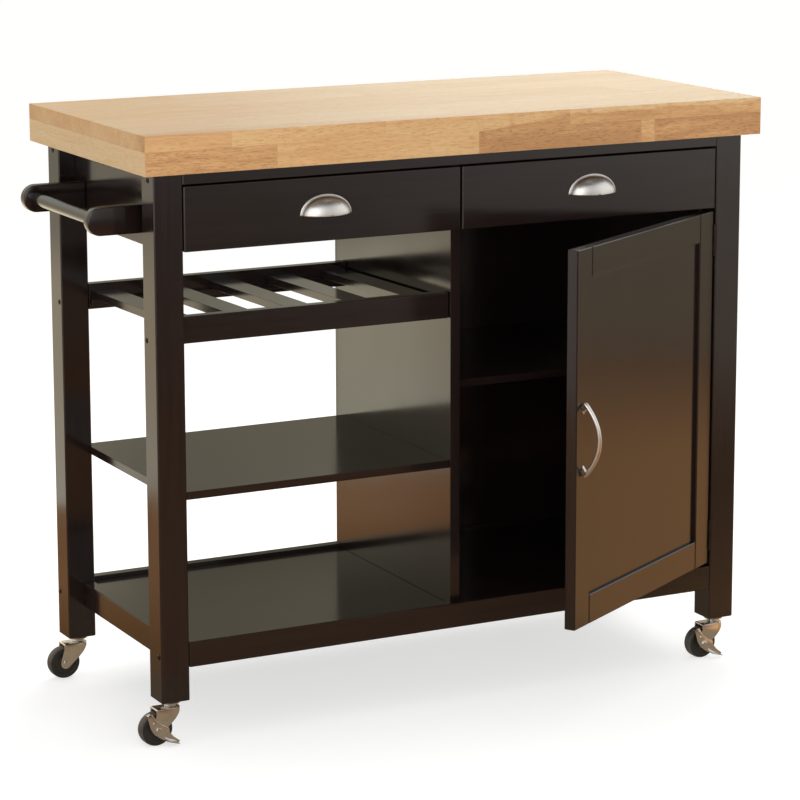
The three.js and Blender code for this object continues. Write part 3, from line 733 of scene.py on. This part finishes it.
    lever = make_object("caster_%s_lever" % where, bm, ZINC, 35)
    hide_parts("caster_%s_brake" % where)
    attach(lever, "caster_%s_pedal" % where)


for corner in CORNERS:
    caster(corner)


# ---------------------------------------------------------------- small hardware
def leg_bolts():
    """Socket-head bolts on the outer side faces of the legs."""
    for where in CORNERS:
        low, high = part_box("leg_" + where)
        out = low.x if where.endswith("left") else high.x
        sign = -1 if where.endswith("left") else 1
        edge, inward = (low.y, 1) if where.startswith("front") else (high.y, -1)
        bm = bmesh.new()
        for z, inset in ((845.7, 21.0), (609.5, 34.5), (138.0, 9.0)):
            spot = (out, edge + inward * inset * MM, z * MM)
            head = [(4.1, -0.2), (4.1, 0.5), (3.6, 0.9), (2.1, 1.0), (2.0, -0.1), (0, -0.1)]
            turned(bm, in_mm([(r, sign * h) for r, h in head]), spot, "X", 24)
        bolts = make_object("leg_bolts_" + where, bm, BOLT, 40)
        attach(bolts, "frame")


def rack_cleats():
    """Narrow battens under the slat ends, against the inner faces of the rack rails."""
    bm = bmesh.new()
    deep, tall = 10 * MM, 9 * MM
    for name, inner, sign, top in (("rack_rail_front", 1, 1, 618.1 * MM),
                                   ("rack_rail_rear", 0, -1, 612.6 * MM)):
        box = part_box(name)
        wall = box[inner].y + sign * 0.1 * MM
        ys = sorted((wall, wall + sign * deep))
        add_into(bm, box_part((box[0].x + 2 * MM, ys[0], top - tall), (box[1].x - 2 * MM, ys[1], top),
                              0.0006))
    cleats = make_object("rack_cleats", bm, LACQUER_X, 30)
    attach(cleats, "frame")


def channel(name, x, out, web, lip, y_span, z_span):
    """A steel channel beside x: its web lies web[0] to web[1] mm away, its two flanges reach to lip."""
    sheet = 1.2 * MM
    bm = bmesh.new()
    a, b = sorted((x + out * web[0] * MM, x + out * web[1] * MM))
    add_into(bm, box_part((a, y_span[0], z_span[0]), (b, y_span[1], z_span[1]), 0.0003))
    a, b = sorted((x + out * web[1] * MM, x + out * lip * MM))
    for z in (z_span[0], z_span[1] - sheet):
        add_into(bm, box_part((a, y_span[0], z), (b, y_span[1], z + sheet), 0.0003))
    return make_object(name, bm, ZINC, 30)


def drawer_runners():
    """Steel slides: one member on the cart, one on the drawer, with a gap between them."""
    for side in ("left", "right"):
        low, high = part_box("drawer_%s_sides" % side)
        y0, z0, z1 = low.y + 6 * MM, low.z + 14 * MM, low.z + 49 * MM
        for k, (x, out) in enumerate(((low.x, -1), (high.x, 1))):
            rail = channel("runner_%s_%d_fixed" % (side, k), x, out, (12.1, 10.9), 7.2,
                           (y0, low.y + 336 * MM), (z0, z1))
            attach(rail, "frame")
            rail = channel("runner_%s_%d_moving" % (side, k), x, out, (0.2, 1.4), 5.6,
                           (y0, high.y - 4 * MM), (z0 + 5 * MM, z1 - 5 * MM))
            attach(rail, "drawer_" + side)


leg_bolts()
rack_cleats()
drawer_runners()


# ---------------------------------------------------------------- studio
def glow_material(name, attribute):
    """Plain emission coloured by a vertex attribute."""
    mat = bpy.data.materials.new(name)
    mat.use_nodes = True
    tree = mat.node_tree
    tree.nodes.clear()
    out = node(tree, "ShaderNodeOutputMaterial")
    emit = node(tree, "ShaderNodeEmission")
    painted = node(tree, "ShaderNodeAttribute", attribute_name=attribute)
    link(tree, painted.outputs["Color"], emit.inputs["Color"])
    link(tree, emit.outputs[0], out.inputs[0])
    return mat


def only_in_reflections(obj):
    obj.visible_camera = False
    obj.visible_diffuse = False
    obj.visible_shadow = False
    obj.visible_transmission = False
    obj.visible_volume_scatter = False
    obj.visible_glossy = True


# What the lacquer and metal reflect, by direction. Each row has the azimuth in degrees and the distance
# of the wall; then the glow of the ground near the cart and further out, and of the wall at its foot;
# then the wall's glow at knee height, at waist height and above the worktop.
ROOM = [
    (-180, 2.2, (.40, .22, .10), (.60, .33, .15), (.80, .70, .64),
     (.92, .82, .80), (1.0, 1.0, .98), (1.0, 1.0, 1.0)),
    (-117, 2.6, (.30, .16, .08), (.30, .15, .07), (.30, .20, .12),
     (.40, .35, .30), (1.9, 1.9, 1.9), (2.4, 2.4, 2.4)),
    (-95, 2.4, (.30, .16, .07), (.28, .13, .06), (.25, .12, .06),
     (.15, .10, .10), (.70, .70, .70), (.80, .80, .80)),
    (-80, 2.4, (.30, .15, .07), (.26, .12, .05), (.24, .11, .05),
     (.16, .11, .11), (.40, .40, .40), (.60, .60, .60)),
    (-74, 2.4, (.30, .15, .07), (.26, .12, .05), (.24, .12, .06),
     (.19, .18, .14), (.50, .50, .50), (.60, .60, .60)),
    (-68, 2.5, (.31, .16, .07), (.28, .14, .06), (.25, .13, .06),
     (.26, .25, .23), (.60, .60, .60), (.70, .70, .70)),
    (-62, 2.6, (.25, .13, .06), (.35, .20, .10), (.35, .22, .12),
     (.51, .42, .40), (.70, .70, .70), (.80, .80, .80)),
    (-48, 2.7, (.22, .12, .05), (.60, .45, .30), (.70, .58, .48),
     (.76, .67, .58), (1.0, 1.0, .95), (1.1, 1.1, 1.1)),
    (-20, 2.8, (.88, .46, .19), (.50, .35, .20), (.50, .40, .28),
     (.50, .44, .33), (1.1, 1.1, 1.0), (1.2, 1.2, 1.2)),
    (0, 3.0, (.92, .47, .19), (.37, .21, .12), (.38, .28, .18),
     (.40, .34, .24), (1.2, 1.2, 1.1), (1.3, 1.3, 1.3)),
    (30, 2.4, (.80, .42, .18), (.50, .30, .15), (.35, .30, .20),
     (.35, .30, .22), (.50, .45, .35), (1.2, 1.4, 1.4)),
    (60, 1.55, (.80, .42, .18), (.70, .38, .17), (.30, .26, .18),
     (.20, .175, .12), (.41, .36, .27), (1.02, 1.25, 1.33)),
    (82, 1.35, (.80, .42, .18), (.80, .42, .18), (.30, .27, .20),
     (.18, .17, .11), (.33, .30, .22), (.30, .40, .50)),
    (100, 1.36, (.60, .30, .12), (.90, .50, .25), (.90, .85, .65),
     (1.0, .90, .65), (.45, .42, .33), (.50, .55, .55)),
    (114, 1.47, (.60, .30, .12), (1.07, .57, .29), (1.9, 1.8, 1.45),
     (1.95, 1.80, 1.32), (.50, .45, .34), (1, 1, .9)),
    (123, 1.6, (.45, .22, .07), (.65, .31, .13), (1.3, 1.2, 1.0),
     (1.25, 1.05, .76), (.70, .62, .48), (1, 1, .9)),
    (130, 1.75, (.45, .22, .07), (.72, .36, .16), (1.2, 1.1, .90),
     (1.22, 1.0, .68), (.90, .80, .62), (1, 1, .9)),
    (150, 2.0, (.45, .22, .08), (.60, .32, .15), (.90, .80, .60),
     (.90, .75, .55), (.80, .75, .65), (.90, .90, .90)),
    (180, 2.2, (.40, .22, .10), (.60, .33, .15), (.80, .70, .64),
     (.92, .82, .80), (1.0, 1.0, .98), (1.0, 1.0, 1.0)),
]


def room_at(angle):
    """The row of ROOM at an azimuth, blended between its neighbours."""
    for a, b in zip(ROOM, ROOM[1:]):
        if a[0] <= angle <= b[0]:
            t = (angle - a[0]) / (b[0] - a[0])
            return [a[1] + (b[1] - a[1]) * t] + [Vector(p).lerp(Vector(q), t) for p, q in zip(a[2:], b[2:])]


def glowing(name, rings, mat):
    """A surface through closed rings of (position, colour), lit by its own vertex colours."""
    bm = bmesh.new()
    glow = bm.verts.layers.float_color.new("glow")
    made = []
    for ring in rings:
        made.append([])
        for where, colour in ring:
            v = bm.verts.new(where)
            v[glow] = (*colour, 1)
            made[-1].append(v)
    n = len(made[0])
    for a, b in zip(made, made[1:]):
        for i in range(n):
            bm.faces.new((a[i], a[(i + 1) % n], b[(i + 1) % n], b[i]))
    return make_object(name, bm, mat)


def studio():
    scene = bpy.context.scene
    scene.view_settings.view_transform = "Standard"
    scene.view_settings.look = "None"
    world = bpy.data.worlds.new("studio_world")
    scene.world = world
    world.use_nodes = True
    world.node_tree.nodes["Background"].inputs[0].default_value = (1, 1, 1, 1)
    world.node_tree.nodes["Background"].inputs[1].default_value = 1.05
    world.cycles_visibility.glossy = False
    world.cycles_visibility.diffuse = False

    # pale floor
    mat, _, shader = new_material("pale_floor")
    shader.inputs["Base Color"].default_value = (0.62, 0.62, 0.62, 1)
    shader.inputs["Roughness"].default_value = 0.9
    shader.inputs["Specular IOR Level"].default_value = 0.0
    shader.inputs["Emission Color"].default_value = (1, 1, 1, 1)
    shader.inputs["Emission Strength"].default_value = 0.62
    bm = bmesh.new()
    bmesh.ops.create_grid(bm, x_segments=1, y_segments=1, size=45)
    floor = make_object("floor", bm, mat)
    floor.visible_glossy = False

    # soft light from all round, seen by matt surfaces only
    centre = (cad_low + cad_high) / 2
    glow = glow_material("glow", "glow")
    rings = []
    for i in range(13):
        tilt = math.radians(90 * i / 12)
        ring = []
        for k in range(48):
            turn = 2 * math.pi * k / 48
            d = Vector((math.cos(tilt) * math.cos(turn), math.cos(tilt) * math.sin(turn), math.sin(tilt)))
            light = 0.30 + 0.46 * d.z + 0.06 * max(0, -d.y) + 0.06 * max(0, d.x)
            ring.append((centre + 70 * d, Vector((1.0, 0.985, 0.95)) * light))
        rings.append(ring)
    sky = glowing("soft_sky", rings, glow)
    sky.visible_camera = sky.visible_glossy = sky.visible_shadow = sky.visible_transmission = False

    # walls and warm ground that only reflections see; the ground carries a painted shadow of the cart, dim
    # under it out to the skirt
    base = Vector((centre.x, centre.y, 0.0004))
    # painted shadow: the dim glow of the ground beneath the cart, which the lacquer and zinc reflect
    under = Vector((0.29, 0.215, 0.137))
    warm = Vector((1.12, 0.96, 0.76))
    walls, ground = [[] for _ in range(9)], [[] for _ in range(6)]
    for degrees in (-180 + 2.5 * i for i in range(144)):
        reach, near, far, foot, knee, waist, high = room_at(degrees)
        d = Vector((math.cos(math.radians(degrees)), math.sin(math.radians(degrees)), 0))
        bands = ((0, foot), (0.10, foot.lerp(knee, 0.4)), (0.26, knee), (0.44, knee),
                 (0.54, knee.lerp(waist, 0.8)), (0.78, waist), (0.95, waist.lerp(high, 0.5) * warm),
                 (1.08, high), (3.0, high))
        for ring, (z, colour) in zip(walls, bands):
            ring.append((base + d * reach + Vector((0, 0, z)), colour))
        mid = far if 45 < degrees < 170 else near
        skirt = 0.36 if -128 < degrees < -45 else 0.62
        bands = ((0.01, under), (skirt, under), (skirt + 0.14, near), (1.1, mid),
                 (max(1.15, 0.65 * reach), mid), (reach, far))
        for ring, (r, colour) in zip(ground, bands):
            ring.append((base + d * r, colour))
    walls = glowing("studio_walls", walls, glow)
    ground = glowing("warm_ground", ground, glow)
    for stage in (walls, ground):
        only_in_reflections(stage)

    def panel(name, where, aim, size, watts, seen):
        """A lamp aimed at a point; seen says whether reflections show it."""
        data = bpy.data.lights.new(name, "AREA")
        data.shape = "RECTANGLE"
        data.size, data.size_y = size
        data.energy = watts
        lamp = bpy.data.objects.new(name, data)
        scene.collection.objects.link(lamp)
        lamp.location = where
        lamp.rotation_euler = (Vector(aim) - Vector(where)).to_track_quat("-Z", "Y").to_euler()
        lamp.visible_camera = False
        lamp.visible_glossy = seen

    panel("overhead", (0.35, 0.4, 2.7), (0.0, 0.1, 0.5), (1.6, 1.2), 16, True)
    panel("rear_box", (1.3, 1.75, 2.3), (0.1, 0.1, 0.9), (1.7, 0.9), 22, True)
    panel("front_fill", (-0.9, -3.3, 1.25), (0.0, 0.0, 0.5), (1.4, 1.0), 27, False)
    panel("camera_box", (-1.9, -3.0, 1.75), (0.0, 0.0, 0.75), (1.2, 0.8), 8, True)


def camera():
    """The photo's standpoint, from the corners it was fitted to."""
    yaw, pitch, roll = math.radians(-27.24), math.radians(10.72), math.radians(-0.12)
    forward = Vector((-math.sin(yaw) * math.cos(pitch), math.cos(yaw) * math.cos(pitch), -math.sin(pitch)))
    right = Vector((math.cos(yaw), math.sin(yaw), 0))
    up = right.cross(forward)
    side = right * math.cos(roll) + up * math.sin(roll)
    top = up * math.cos(roll) - right * math.sin(roll)
    data = bpy.data.cameras.new("camera")
    data.sensor_width = 36
    data.lens = 135.96
    data.shift_x, data.shift_y = 0.0055, -0.10
    data.clip_end = 200
    cam = bpy.data.objects.new("camera", data)
    bpy.context.scene.collection.objects.link(cam)
    turn = Matrix((side, top, -forward)).transposed().to_4x4()
    cam.matrix_world = at(-2.1249, -4.0560, 1.4545) @ turn
    bpy.context.scene.camera = cam


studio()
camera()
